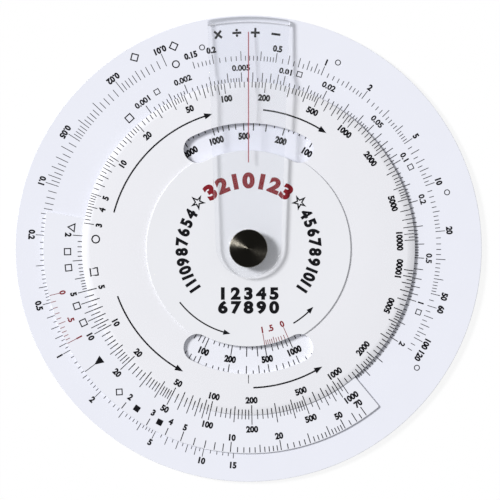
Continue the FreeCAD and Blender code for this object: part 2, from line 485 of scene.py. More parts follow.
sleeveLook = dict(screwLook, colour=(0.72, 0.55, 0.26, 1), wearAndHighlightColour=(0.85, 0.7, 0.4, 1), wearAndHighlightFrom=1.97 * mm)
springLook = dict(screwLook, colour=(0.42, 0.42, 0.43, 1), ringWidth=0.4 * mm)


# Thin milky film of the slip washers, and the moulded ring that carries the cursor
filmLook = {
    "colour": (0.78, 0.8, 0.79, 1),
    "specular": 0.4,
    "ior": 1.4,
    "flowSize": 0.8 * mm,
    "flowSpread": (0.3, 0.7),
    "flowShade": 0.93,
    "flowDepth": 0.003 * mm,
    "roughness": 0.35,
    "unevenGloss": 0.15,
}
spacerLook = dict(filmLook, colour=(0.8, 0.8, 0.78, 1), roughness=0.5)


def milkyPlastic(name, look):
    film = Finish(name, specular=look["specular"], ior=look["ior"])
    flow = film.noise(look["flowSize"], detail=3.0)
    streaks = shade(look["colour"], look["flowShade"])
    film.feed("colour", film.mix(flow.between(*look["flowSpread"]), streaks, look["colour"]))
    film.feed("roughness", look["roughness"] + (flow - 0.5) * look["unevenGloss"])
    film.bump(flow, look["flowDepth"])
    return film.material


def dressPiece(piece, name, body, material, slotName, *nodes):
    workOn(piece)
    piece.name = name
    piece.data.name = name
    piece.data.materials.clear()
    piece.data.materials.append(material)
    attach(piece, body)
    if nodes:
        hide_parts(*nodes)
    return piece


# The printed discs

baseLow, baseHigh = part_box("base_scale_sheet")
middleLow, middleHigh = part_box("middle_disc")
upperLow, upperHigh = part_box("upper_disc")
hubLow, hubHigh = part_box("hub_sheet")
cursorLow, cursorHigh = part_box("cursor_plate")
capLow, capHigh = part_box("pivot_cap")

discs = {
    "hole": 2.05 * mm,
    "holeSides": 64,
    "baseSides": 320,
    "hubSides": 200,
    "edgeRound": 0.05 * mm,
    "rimRound": 0.12 * mm,
    "tabRound": 0.08 * mm,
    "tabStart": 140.35,
    "tabEnd": 280.4,
    "tabCorner": 0.4 * mm,
    "tabArcSteps": 128,
    "backArcSteps": 160,
    "upperEdge": 0.25 * mm,
    "bevelWidth": 2.1 * mm,
    "bevelRise": 0.5 * mm,
    "bevelRings": 5,
    "bevelFlat": 0.35,
    "bevelSharp": 9,
    "hubBevel": 0.16 * mm,
    "windowInner": hubHigh.y,
    "windowOuter": 32.25 * mm,
    "windowHalfAngle": 34.3,
    "slotMargin": 0.6 * mm,
    "slotHalfAngle": 80.0,
    "slotArcSteps": 49,
    "slotEndSteps": 24,
}


# A cutter in the shape of an arc with round ends
def curvedSlot(inner, outer, centreAngle, halfAngle):
    mid, half = (inner + outer) / 2, (outer - inner) / 2
    reach = halfAngle - math.degrees(half / mid)
    startAngle, endAngle = centreAngle - reach, centreAngle + reach
    slot = drawOutline("slotCutter", onDial(outer, startAngle), [
        ((0, 0), 2 * reach, discs["slotArcSteps"]),
        (onDial(mid, endAngle), 180, discs["slotEndSteps"]),
        ((0, 0), -2 * reach, discs["slotArcSteps"]),
        (onDial(mid, startAngle), 180, discs["slotEndSteps"]),
    ])
    return extrudeFlat(slot, *throughAll)


def cutHole(disc):
    cutWith(disc, makeDisc("holeCutter", discs["hole"], *throughAll, sides=discs["holeSides"]))


def cutWindows(disc):
    inner, outer = discs["windowInner"], discs["windowOuter"]
    for centre in (0, 180):
        cutWith(disc, curvedSlot(inner, outer, centre, discs["windowHalfAngle"]))


def makeBaseSheet():
    sheet = makeDisc("base", baseHigh.x, baseLow.z, baseHigh.z, sides=discs["baseSides"])
    pickTopEdges(sheet, baseHigh.z)
    bevelPicked(discs["rimRound"], 3)
    cutHole(sheet)
    smoothShade(sheet)
    dressPiece(sheet, "base_dial", "base", printedPlastic("base", baseHigh.x),
               "base_sheet", "base_scale_sheet")


def makeMiddleDisc():
    tabRadius, radius = -middleLow.x, middleHigh.x
    tabTurn = discs["tabEnd"] - discs["tabStart"]
    start = onDial(tabRadius, discs["tabStart"])
    outTop, inTop = onDial(tabRadius, discs["tabEnd"]), onDial(radius, discs["tabEnd"])
    disc = drawOutline("middle", start, [
        ((0, 0), tabTurn, discs["tabArcSteps"]),
        (inTop[0] - outTop[0], inTop[1] - outTop[1]),
        ((0, 0), 360 - tabTurn, discs["backArcSteps"]),
    ])
    extrudeFlat(disc, middleLow.z, middleHigh.z)
    pickCornerEdges(disc, [start, outTop])
    bevelPicked(discs["tabCorner"], 5)
    pickTopEdges(disc, middleHigh.z)
    bevelPicked(discs["tabRound"], 3)
    slotInner = discs["windowInner"] - discs["slotMargin"]
    slotOuter = discs["windowOuter"] + discs["slotMargin"]
    cutWith(disc, curvedSlot(slotInner, slotOuter, 0, discs["slotHalfAngle"]))
    cutHole(disc)
    roundEdges(disc, discs["edgeRound"])
    smoothShade(disc)
    # The tab dial's rim is greyed more strongly: painted shade along the tab's edge, over the handling wear
    dressPiece(disc, "tab_dial", "middle_disc", printedPlastic("middle", tabRadius, rimGrey=0.8),
               "middle_sheet", "middle_disc")


# The upper dial's top from its rim inwards: radii and heights of the rounded bevel, then the taper
def rimProfile():
    crest = upperHigh.x - discs["bevelWidth"]
    crestHeight = upperLow.z + discs["upperEdge"] + discs["bevelRise"]
    profile = []
    for ring in range(discs["bevelRings"] + 1):
        share = 1 - ring / discs["bevelRings"]
        fall = discs["bevelFlat"] * share + (1 - discs["bevelFlat"]) * share ** 2
        profile.append((crest + share * discs["bevelWidth"], crestHeight - fall * discs["bevelRise"]))
    return [*profile, (hubHigh.x, upperHigh.z)]


def makeUpperDisc():
    disc = makeDisc("upper", upperHigh.x, upperLow.z, upperLow.z + discs["upperEdge"])
    pickFaces(disc, facesUp)
    profile = rimProfile()
    for (outer, low), (inner, high) in zip(profile, profile[1:]):
        bpy.ops.mesh.inset(thickness=outer - inner, depth=high - low)
    cutWindows(disc)
    cutHole(disc)
    roundEdges(disc, discs["edgeRound"])
    smoothShade(disc, sharp=discs["bevelSharp"])
    dressPiece(disc, "window_dial", "upper_disc", printedPlastic("upper", upperHigh.x),
               "upper_sheet", "upper_disc")


def makeHubSheet():
    sheet = makeDisc("hub", hubHigh.x, hubLow.z, hubHigh.z, sides=discs["hubSides"])
    cutWindows(sheet)
    cutHole(sheet)
    roundEdges(sheet, discs["hubBevel"], segments=3)
    smoothShade(sheet)
    dressPiece(sheet, "hub_dial", "upper_disc", printedPlastic("hub", hubHigh.x, rimGrey=0.12),
               "hub_sheet", "hub_sheet")


makeBaseSheet()
makeMiddleDisc()
makeUpperDisc()
makeHubSheet()
print("stage: discs made")


# Printing. Each dial's ink is one piece: bars and figures are made one by one and joined.

printing = {
    "decadeTurn": 47.75,
    "inkUnder": 0.004 * mm,
    "inkOver": 0.020 * mm,
    "figureHeight": 1.48 * mm,
    "figureStretch": 0.94,
    "glyphHeight": 0.69,
    "glyphCurves": 3,
    "largeCurves": 6,
    "bevelShare": 19,  # a large figure's depth over its bevel, before it is made flat
    "shapeCurves": 8,
    "shapeWeight": 0.015,
    "lightWeight": 0.04,
    "plainWeight": 0.055,
    "heavyWeight": 0.065,
    "tickWidth": 0.175 * mm,
    "barCorner": 0.04,
    "bendCuts": 5,
}


# The pattern of all bars: a block with its corners taken off, cut across where it must bend
def makeBarPattern(cuts=0):
    putDown()
    bpy.ops.mesh.primitive_cube_add(size=1)
    bar = bpy.context.object
    pickEdges(bar, lambda a, b: abs(a.z - b.z) > 0.5)
    bevelPicked(printing["barCorner"], 1)
    for cut in range(cuts):
        bpy.ops.mesh.select_all(action="SELECT")
        bpy.ops.mesh.bisect(plane_co=(0, (cut + 1) / (cuts + 1) - 0.5, 0), plane_no=(0, 1, 0))
    bpy.ops.object.mode_set(mode="OBJECT")
    return bar


class Ink:
    # What is printed in one colour on one dial
    def __init__(self, name, level, pattern=None):
        self.name = name
        self.bottom = level - printing["inkUnder"]
        self.top = level + printing["inkOver"]
        self.thick = self.top - self.bottom
        self.pattern = pattern or barPattern
        self.marks = []

    # Keeps a mark, turned and halfway up the ink's thickness
    def place(self, piece, radius, angle, turn):
        piece.location = (*onDial(radius, angle), (self.bottom + self.top) / 2)
        piece.rotation_euler.z = -math.radians(turn)
        self.marks.append(piece)

    def bar(self, angle, inner, outer, width=None):
        piece = self.pattern.copy()
        piece.data = self.pattern.data.copy()
        bpy.context.collection.objects.link(piece)
        piece.scale = (width or printing["tickWidth"], abs(outer - inner), self.thick)
        self.place(piece, (inner + outer) / 2, angle, angle)

    def figure(self, text, radius, angle, height=None, feetOut=False, weight=None, stretch=None, curves=None):
        putDown()
        bpy.ops.object.text_add()
        piece = bpy.context.object
        size = (height or printing["figureHeight"]) / printing["glyphHeight"]
        piece.data.body = text
        piece.data.align_x = "CENTER"
        piece.data.offset_y = -printing["glyphHeight"] / 2
        piece.data.resolution_u = curves or printing["glyphCurves"]
        piece.data.offset = printing["plainWeight"] if weight is None else weight
        piece.data.extrude = self.thick / size / 2
        piece.scale = (size * (stretch or printing["figureStretch"]), size, size)
        self.place(piece, radius, angle, angle + (180 if feetOut else 0))

    # A large figure with smoother curves. A bevel widens it, because an offset would tear its curves
    # open, but the bevel would close the small hole of a 4.
    def largeFigure(self, text, radius, angle, height, weight, stretch):
        self.figure(text, radius, angle, height=height, weight=0.0, stretch=stretch,
                    curves=printing["largeCurves"])
        piece = self.marks[-1]
        if text == "4":
            piece.data.offset = weight
            return
        piece.data.bevel_depth = weight
        piece.data.bevel_resolution = 0
        piece.data.extrude = printing["bevelShare"] * weight
        piece.scale.z = self.thick / 2 / (weight + piece.data.extrude)

    # An arc with an arrow head at its end. A negative turn runs the other way.
    def arrow(self, radius, start, turn, width, headWidth, headTurn):
        way = math.copysign(1, turn)
        neck, tip = start + turn - way * headTurn, start + turn
        shaft = neck - start
        steps = max(8, round(abs(shaft)))
        outer, inner = radius + width / 2, radius - width / 2
        wide, narrow = radius + headWidth / 2, radius - headWidth / 2
        corners = [onDial(outer, neck), onDial(wide, neck), onDial(radius, tip), onDial(narrow, neck),
                   onDial(inner, neck)]
        lines = [(b[0] - a[0], b[1] - a[1]) for a, b in zip(corners, corners[1:])]
        moves = [((0, 0), shaft, steps), *lines, ((0, 0), -shaft, steps)]
        self.fill(drawOutline("arrow", onDial(outer, start), moves))

    # A solid triangle with its point outwards
    def pointer(self, angle, foot, tip, width):
        x, y = onDial(foot, angle)
        sideX, sideY = onDial(width / 2, angle + 90)
        tipX, tipY = onDial(tip, angle)
        start = (x - sideX, y - sideY)
        self.fill(drawOutline("pointer", start, [
            (tipX - start[0], tipY - start[1]),
            (x + sideX - tipX, y + sideY - tipY),
        ]))

    def fill(self, outline):
        self.marks.append(extrudeFlat(outline, self.bottom, self.top))

    def join(self, body, material, slotName):
        putDown()
        for piece in self.marks:
            piece.select_set(True)
        bpy.context.view_layer.objects.active = self.marks[0]
        bpy.ops.object.convert(target="MESH")
        bpy.ops.object.transform_apply(location=True, rotation=True, scale=True)
        bpy.ops.object.join()
        joined = bpy.context.object
        pickAll(joined)
        bpy.ops.mesh.remove_doubles(threshold=hair / 2)  # a figure's sides come apart from its faces
        bpy.ops.mesh.normals_make_consistent(inside=False)
        bpy.ops.object.mode_set(mode="OBJECT")
        bpy.ops.object.shade_flat()
        return dressPiece(joined, self.name, body, material, slotName)


# The finest steps of each stretch of a decade
finePlan = ((1, 2, 0.1), (2, 5, 0.2), (5, 10, 0.5))
coarsePlan = ((1, 2, 0.2), (2, 5, 0.5), (5, 10, 1.0))


# Each value to mark, with its place in its decade
def scaleValues(low, high, plan):
    values = []
    for decade in range(math.floor(math.log10(low)), math.ceil(math.log10(high)) + 1):
        for start, end, step in plan:
            for i in range(round((end - start) / step)):
                lead = round(start + i * step, 3)
                value = lead * 10 ** decade
                if low * 0.9999 <= value <= high * 1.0001:
                    values.append((value, lead))
    return values


def dialAngle(scale, value):
    return scale["zero"] + scale["way"] * printing["decadeTurn"] * math.log10(value)


# Bars start at a foot radius and end at one of three radii, by rank: 2 is the longest
def printBars(ink, scale, angle, rank):
    for foot, ends in scale["rows"]:
        ink.bar(angle, foot, ends[rank], scale.get("tickWidth"))


# Whole numbers get the longest bars, on a coarse scale only up to 5
def barRank(lead, plan):
    if lead != round(lead):
        return 1 if lead == 1.5 else 0
    return 1 if lead > 5 and plan is coarsePlan else 2


def printScale(ink, scale):
    plan = scale.get("plan", finePlan)
    for value, lead in scaleValues(*scale["range"], plan):
        printBars(ink, scale, dialAngle(scale, value), barRank(lead, plan))
    for value in scale["figures"]:
        ink.figure(f"{value:g}", scale["figureRadius"], dialAngle(scale, value),
                   height=scale.get("figureHeight"), feetOut=scale.get("feetOut", False),
                   weight=scale.get("weight"), stretch=scale.get("stretch"))


# Plain shapes: each row is a shape, its height, the radius and the dial angles
def printShapes(ink, rows):
    for shape, height, radius, angles in rows:
        for angle in angles:
            ink.figure(shape, radius, angle, height=height, weight=printing["shapeWeight"], stretch=1.0,
                       curves=printing["shapeCurves"])


# 1, 2 and 5 of each decade
def decades(low, high):
    values = [lead * 10 ** power for power in range(-3, 5) for lead in (1, 2, 5)]
    return [value for value in values if low * 0.99 < value < high * 1.01]


baseScales = {
    "outerRight": {
        "zero": 22.72, "way": 1, "range": (0.15, 120),
        "rows": [(48.32 * mm, (49.56 * mm, 50.12 * mm, 50.77 * mm))],
        "figures": [0.15, 0.2, 0.5, 1, 2, 5, 10, 20, 50, 60, 100, 120],
        "figureRadius": 51.9 * mm, "figureHeight": 1.45 * mm,
    },
    "innerRight": {
        "zero": 107.54, "way": 1, "range": (0.001, 5), "tickWidth": 0.2 * mm,
        "rows": [(42.39 * mm, (43.81 * mm, 44.79 * mm, 45.25 * mm))],
        "figures": decades(0.001, 5),
        "figureRadius": 46.51 * mm, "figureHeight": 1.4 * mm, "stretch": 1.04,
        "weight": printing["lightWeight"],
    },
    "outerLeft": {
        "zero": 240.33, "way": -1, "range": (0.01, 15), "tickWidth": 0.17 * mm,
        "rows": [(51.41 * mm, (53.65 * mm, 54.16 * mm, 54.88 * mm))],
        "figures": [*decades(0.01, 10), 15],
        "figureRadius": 55.88 * mm, "feetOut": True,
    },
    "topWindow": {
        "zero": 126.6, "way": -1, "range": (1, 10000), "plan": coarsePlan, "tickWidth": 0.27 * mm,
        "rows": [(32.48 * mm, (31.66 * mm, 30.76 * mm, 30.37 * mm))],
        "figures": decades(1, 10000),
        "figureRadius": 28.96 * mm, "figureHeight": 1.54 * mm, "stretch": 0.86,
        "weight": printing["heavyWeight"],
    },
}
middleScales = {
    "rimRow": {
        "zero": 288.72, "way": -1, "range": (2, 1000), "tickWidth": 0.2 * mm,
        "rows": [(42.47 * mm, (43.97 * mm, 44.82 * mm, 45.33 * mm))],
        "figures": decades(2, 1000),
        "figureRadius": 46.5 * mm, "feetOut": True,
    },
    "lowWindow": {
        "zero": 299.28, "way": -1, "range": (10, 10000), "plan": coarsePlan, "tickWidth": 0.23 * mm,
        "rows": [(25.09 * mm, (26.19 * mm, 27.09 * mm, 27.86 * mm)),
                 (32.19 * mm, (31.41 * mm, 30.77 * mm, 30.18 * mm))],
        "figures": decades(10, 10000),
        "figureRadius": 28.82 * mm, "figureHeight": 1.54 * mm, "stretch": 0.86, "feetOut": True,
        "weight": printing["heavyWeight"],
    },
}
# Whole numbers on the tab
countScale = {
    "zero": 232.84, "way": -1, "tickWidth": 0.225 * mm,
    "rows": [(52.52 * mm, (51.14 * mm, 50.56 * mm, 49.92 * mm))],
    "values": [*range(2, 20), *range(20, 50, 2), *range(50, 75, 5)],
    "middle": (2, 3, 4, 6, 7, 8, 9, 15),
    "long": (5, *range(10, 80, 10)),
    "figures": (2, 3, 4, 5, 10, 20, 50, 70),
    "figureRadius": 48.8 * mm,
}
upperScales = {
    "rightRun": {
        "zero": 256.04, "way": 1, "range": (3, 10000), "tickWidth": 0.2 * mm,
        "rows": [(42.77 * mm, (41.3 * mm, 40.57 * mm, 40.18 * mm))],
        "figures": [3, 4, *decades(5, 10000)],
        "figureRadius": 38.92 * mm,
    },
    "leftRun": {
        "zero": 288.72, "way": -1, "range": (5, 10000), "tickWidth": 0.24 * mm,
        "rows": [(42.77 * mm, (41.43 * mm, 40.71 * mm, 40.33 * mm))],
        "figures": decades(5, 10000),
        "figureRadius": 39.01 * mm, "feetOut": True,
    },
}
baseShapes = (
    ("○", 1.35 * mm, 53.06 * mm, (347.0, 25.7, 74.2, 125.3)),
    ("□", 1.35 * mm, 46.65 * mm, (329.7, 16.3, 63.3, 110.5)),
    ("○", 1.8 * mm, 50.92 * mm, (338.5,)),
    ("□", 1.8 * mm, 45.37 * mm, (317.6,)),
    ("◇", 1.9 * mm, 55.46 * mm, (339.7,)),
    ("◇", 1.9 * mm, 57.2 * mm, (329.2,)),
)
tabShapes = (
    ("□", 1.7 * mm, 46.5 * mm, (269.0, 263.9, 251.5, 245.8)),
    ("△", 1.8 * mm, 45.84 * mm, (276.8,)),
    ("■", 1.4 * mm, 50.16 * mm, (214.9, 207.1)),
    ("◇", 1.7 * mm, 49.61 * mm, (222.0,)),
)
upperShapes = (
    ("○", 2.0 * mm, 39.28 * mm, (273.5,)),
    ("□", 2.0 * mm, 40.08 * mm, (261.4,)),
)
tipSymbols = {
    "text": "×÷+−",
    "angles": (351.9, 356.9, 1.8, 7.3),
    "radius": 55.5 * mm,
    "height": 3.3 * mm,
    "weight": 0.02,
}
# The pointer on the tab and the red steps from 0 to 1 beside it
tabPointer = {
    "angle": 233.0, "foot": 47.2 * mm, "tip": 49.66 * mm, "width": 2.19 * mm,
    "lineStart": 49.61 * mm, "lineEnd": 52.62 * mm,
}
tabSteps = {
    "zero": 256.7, "way": -1, "foot": 52.62 * mm, "ends": (51.33 * mm, 50.69 * mm, 49.92 * mm),
    "figureRadius": 49.14 * mm, "tickWidth": 0.15 * mm,
}
hubSteps = {
    "zero": 156.05, "way": 1, "foot": 25.09 * mm, "ends": (23.93 * mm, 23.54 * mm, 22.13 * mm),
    "figureRadius": 21.2 * mm, "tickWidth": 0.16 * mm,
}
upperArrows = {
    "radius": 35.8 * mm,
    "runs": ((285, 60), (6, 28), (250, -42), (178, -30)),
    "width": 0.4 * mm, "headWidth": 1.6 * mm, "headTurn": 3.4,
}
hubArrow = {
    "radius": 22.4 * mm,
    "runs": ((232, -40), (149, -17)),
    "width": 0.35 * mm, "headWidth": 1.4 * mm, "headTurn": 4.6,
}
# The line over each window: its gap to the window, and where it ends
upperMarks = {"gap": 0.25 * mm, "ends": {0: 34.48 * mm, 180: 34.7 * mm}}
barPattern = makeBarPattern()
bentBarPattern = makeBarPattern(printing["bendCuts"])


# Steps from 0 to 1 in tenths, with figures at 0, .5 and 1
def printSteps(ink, steps):
    for tenth in range(11):
        angle = dialAngle(steps, 1 + tenth / 10)
        end = steps["ends"][2 if tenth in (0, 10) else 1 if tenth == 5 else 0]
        ink.bar(angle, end, steps["foot"], steps["tickWidth"])
        if tenth % 5 == 0:
            figure = f"{tenth / 10:g}".lstrip("0") or "0"
            ink.figure(figure, steps["figureRadius"], angle, feetOut=True, weight=printing["lightWeight"])


def printArrows(ink, arrows):
    for start, turn in arrows["runs"]:
        ink.arrow(arrows["radius"], start, turn, arrows["width"], arrows["headWidth"], arrows["headTurn"])


def printBase():
    black = Ink("base_dial_print", baseHigh.z)
    for scale in baseScales.values():
        printScale(black, scale)
    for symbol, angle in zip(tipSymbols["text"], tipSymbols["angles"]):
        black.figure(symbol, tipSymbols["radius"], angle, height=tipSymbols["height"],
                     weight=tipSymbols["weight"])
    printShapes(black, baseShapes)
    black.join("base", blackInk, "black_ink")


def printMiddle():
    black = Ink("tab_dial_print", middleHigh.z)
    for scale in middleScales.values():
        printScale(black, scale)
    for value in countScale["values"]:
        rank = 2 if value in countScale["long"] else 1 if value in countScale["middle"] else 0
        printBars(black, countScale, dialAngle(countScale, value), rank)
    for value in countScale["figures"]:
        black.figure(str(value), countScale["figureRadius"], dialAngle(countScale, value), feetOut=True)
    black.bar(tabPointer["angle"], tabPointer["lineStart"], tabPointer["lineEnd"])
    black.pointer(tabPointer["angle"], tabPointer["foot"], tabPointer["tip"], tabPointer["width"])
    printShapes(black, tabShapes)
    black.join("middle_disc", blackInk, "black_ink")
    red = Ink("tab_dial_red_print", middleHigh.z)
    printSteps(red, tabSteps)
    red.join("middle_disc", redInk, "red_ink")


# Height of the upper dial's top at a distance from the pivot
def upperHeight(distance):
    profile = rimProfile()
    for (outer, low), (inner, high) in zip(profile, profile[1:]):
        if distance > inner:
            break
    return high + (low - high) * (distance - inner) / (outer - inner)


def layOnUpper(piece):
    for point in piece.data.vertices:
        point.co.z += upperHeight(math.hypot(point.co.x, point.co.y))


def printUpper():
    black = Ink("window_dial_print", 0.0, bentBarPattern)
    for scale in upperScales.values():
        printScale(black, scale)
    for angle, end in upperMarks["ends"].items():
        black.bar(angle, discs["windowOuter"] + upperMarks["gap"], end)
    printArrows(black, upperArrows)
    printShapes(black, upperShapes)
    layOnUpper(black.join("upper_disc", blackInk, "black_ink"))


# Numbers that count away from the top on both sides, red for the first ones
hubRing = {
    "redAngles": (0, 11.3, 22.6, 33.9),
    "redRadius": 17.5 * mm, "redHeight": 3.5 * mm, "redWeight": 0.06, "redStretch": 1.12,
    "blackAngles": (59, 67.5, 76, 84.5, 93, 101.5, 112, 124),
    "blackRadius": 17.2 * mm, "blackHeight": 2.75 * mm,
    "starAngles": (312.3, 47.9),
    "starRadius": 17.63 * mm, "starHeight": 2.7 * mm,
}
hubRows = {
    "lines": ((-11.55 * mm, "12345"), (-15.1 * mm, "67890")),
    "pitch": 3.3 * mm, "height": 2.8 * mm, "weight": 0.055, "stretch": 1.15,
}


def printHub():
    black = Ink("hub_dial_print", hubHigh.z)
    red = Ink("hub_dial_red_print", hubHigh.z)
    for place, angle in enumerate(hubRing["redAngles"]):
        for side in (-1, 1) if place else (1,):
            red.largeFigure(str(place), hubRing["redRadius"], side * angle, hubRing["redHeight"],
                            hubRing["redWeight"], hubRing["redStretch"])
    for place, angle in enumerate(hubRing["blackAngles"], len(hubRing["redAngles"])):
        for side in (-1, 1):
            black.largeFigure(str(place), hubRing["blackRadius"], side * angle, hubRing["blackHeight"],
                              printing["plainWeight"], printing["figureStretch"])
    printShapes(black, [("☆", hubRing["starHeight"], hubRing["starRadius"], hubRing["starAngles"])])
    for y, line in hubRows["lines"]:
        for i, symbol in enumerate(line):
            x = (i - (len(line) - 1) / 2) * hubRows["pitch"]
            black.largeFigure(symbol, math.hypot(x, y), math.degrees(math.atan2(x, y)), hubRows["height"],
                              hubRows["weight"], hubRows["stretch"])
            black.marks[-1].rotation_euler.z = 0
    printArrows(black, hubArrow)
    black.join("upper_disc", blackInk, "black_ink")
    printSteps(red, hubSteps)
    red.join("upper_disc", redInk, "red_ink")


blackInk = printedInk("black")
redInk = printedInk("red")
printBase()
printMiddle()
printUpper()
printHub()
for pattern in (barPattern, bentBarPattern):
    bpy.data.objects.remove(pattern)
print("stage: dials printed")


# The clear cursor

cursor = {
    "thick": 1.0 * mm,
    "endRadius": 8.4 * mm,
    "endOffset": 1.0 * mm,
    "tipHalfWidth": 10.6 * mm,
    "tipCorner": 0.5 * mm,
    "reach": 59.6 * mm,
    "bendStart": 38.9 * mm,
    "bendRadius": 4.0 * mm,
    "bendAngle": 18.0,
    "tipSlope": 2.6,
    "outerBottom": 0.89 * mm,
    "ribWidth": 1.3 * mm,
    "edgeRound": 0.12 * mm,
    "sharpEdge": 50,
    "tipSteps": 40,
    "bendSteps": 8,
    "endSteps": 64,
    "cutterWidth": 30 * mm,
    "cutterFrom": -20 * mm,
    "cutterTo": 70 * mm,
    "cutterDepth": 20 * mm,
    "hairlineWidth": 0.28 * mm,
    "hairlineDepth": 0.02 * mm,
    "hairlineSwell": 0.015 * mm,
    "hairlineRound": 0.01 * mm,
    "hairlineFrom": 22.1 * mm,
    "hairlineTo": 55.7 * mm,
}


# One face of the bent plate seen from its side, as moves along Y and Z. Shift is the face's height
# over the plate's middle.
def bendMoves(shift, fromY, toY):
    bend, slope = math.radians(cursor["bendAngle"]), math.radians(cursor["tipSlope"])
    radius = cursor["bendRadius"]
    middle = cursorHigh.z - cursor["thick"] / 2
    outerMiddle = middleHigh.z + cursor["outerBottom"] + cursor["thick"] / 2
    drop = middle - outerMiddle - radius * (1 + math.cos(slope) - 2 * math.cos(bend))
    ramp = drop / math.sin(bend)
    firstCentre = (cursor["bendStart"], middle - radius)
    reach = 2 * radius * math.sin(bend) + ramp * math.cos(bend)
    fall = radius - 2 * radius * math.cos(bend) + ramp * math.sin(bend)
    secondCentre = (cursor["bendStart"] + reach, middle - fall)
    lastY = secondCentre[0] - (radius - shift) * math.sin(slope)
    run = (toY - lastY) / math.cos(slope)
    return (fromY, middle + shift), [
        (cursor["bendStart"] - fromY, 0),
        (firstCentre, cursor["bendAngle"], cursor["bendSteps"]),
        (ramp * math.cos(bend), -ramp * math.sin(bend)),
        (secondCentre, cursor["tipSlope"] - cursor["bendAngle"], cursor["bendSteps"]),
        (run * math.cos(slope), -run * math.sin(slope)),
    ]


# Turns an outline drawn as (Y, Z) upright and gives it a width along X
def uprightSolid(outline, width):
    extrudeFlat(outline, -width / 2, width / 2)
    outline.rotation_euler = (math.pi / 2, 0, math.pi / 2)
    applyPlace(outline)
    return outline


# The plate seen from above, higher than it is until its faces are cut
def cursorPlan():
    reach = cursor["reach"]
    tipAngle = math.degrees(cursor["tipHalfWidth"] / reach)
    tipX, tipY = onDial(reach, tipAngle)
    lean = math.degrees((tipX - cursor["endRadius"]) / (tipY - cursor["endOffset"]))
    footX, footY = onDial(cursor["endRadius"], 90 + lean)
    footY += cursor["endOffset"]
    plan = drawOutline("cursor", (-tipX, tipY), [
        ((0, 0), 2 * tipAngle, cursor["tipSteps"]),
        (footX - tipX, footY - tipY),
        ((0, cursor["endOffset"]), 180 - 2 * lean, cursor["endSteps"]),
    ])
    return extrudeFlat(plan, cursorLow.z, cursorHigh.z + mm)


# Rounds the plate's edges, all but those of the rib's inner wall
def roundCursor(plate):
    ribInner = cursor["reach"] - cursor["ribWidth"]
    pickNone(plate, "EDGE")
    bpy.ops.object.mode_set(mode="EDIT")
    bpy.ops.mesh.edges_select_sharp(sharpness=math.radians(cursor["sharpEdge"]))
    bpy.ops.object.mode_set(mode="OBJECT")
    points = plate.data.vertices
    for edge in plate.data.edges:
        if all(abs(points[i].co.xy.length - ribInner) < 2 * hair for i in edge.vertices):
            edge.select = False
    bpy.ops.object.mode_set(mode="EDIT")
    bevelPicked(cursor["edgeRound"], 3)


# What is over the plate's upper face, or under its lower one where side is -1
def faceCutter(side):
    back, front, depth = cursor["cutterFrom"], cursor["cutterTo"], cursor["cutterDepth"]
    start, moves = bendMoves(side * cursor["thick"] / 2, back, front)
    outline = drawOutline("faceCutter", start, [*moves, (0, side * depth), (back - front, 0)])
    return uprightSolid(outline, cursor["cutterWidth"])


def makeCursor():
    plate = cursorPlan()
    cornerX, cornerY = onDial(cursor["reach"], math.degrees(cursor["tipHalfWidth"] / cursor["reach"]))
    pickCornerEdges(plate, [(-cornerX, cornerY), (cornerX, cornerY)])
    bevelPicked(cursor["tipCorner"], 5)
    cutWith(plate, faceCutter(1))
    below = faceCutter(-1)
    inner, depth = cursor["reach"] - cursor["ribWidth"], cursor["cutterDepth"]
    cutWith(below, makeDisc("ribCutter", inner, -depth, depth), "INTERSECT")
    cutWith(plate, below)
    cutHole(plate)
    roundCursor(plate)
    smoothShade(plate, sharp=35)
    dressPiece(plate, "clear_cursor", "cursor", clearPlastic("clearAcrylic", cursorLook),
               "clear_plastic", "cursor_plate")


def backwards(moves):
    return [(move[0], -move[1], move[2]) if len(move) == 3 else (-move[0], -move[1])
            for move in reversed(moves)]


# The line engraved in the plate's upper face, filled with red
def makeHairline():
    top, span = cursor["thick"] / 2, (cursor["hairlineFrom"], cursor["hairlineTo"])
    start, above = bendMoves(top + cursor["hairlineSwell"], *span)
    lowStart, below = bendMoves(top - cursor["hairlineDepth"], *span)
    down = (0, (lowStart[1] - start[1]) / math.cos(math.radians(cursor["tipSlope"])))
    outline = drawOutline("hairline", start, [*above, down, *backwards(below)])
    band = uprightSolid(outline, cursor["hairlineWidth"])
    roundEdges(band, cursor["hairlineRound"], segments=1)
    dressPiece(band, "cursor_hairline", "cursor", printedInk("hairline"), "red_ink")


makeCursor()
makeHairline()
print("stage: cursor made")


# Pivot: turned cap and slotted screw

cap = {
    "sides": 160,
    "chamfer": 0.14 * mm,
    "skirt": 0.45 * mm,
    "recess": 0.28 * mm,
    "edgeRound": 0.03 * mm,
    "rings": 20,
    "ringMargin": 0.05 * mm,
    "ringDepth": 0.065 * mm,
    "ringLean": 0.85,
}


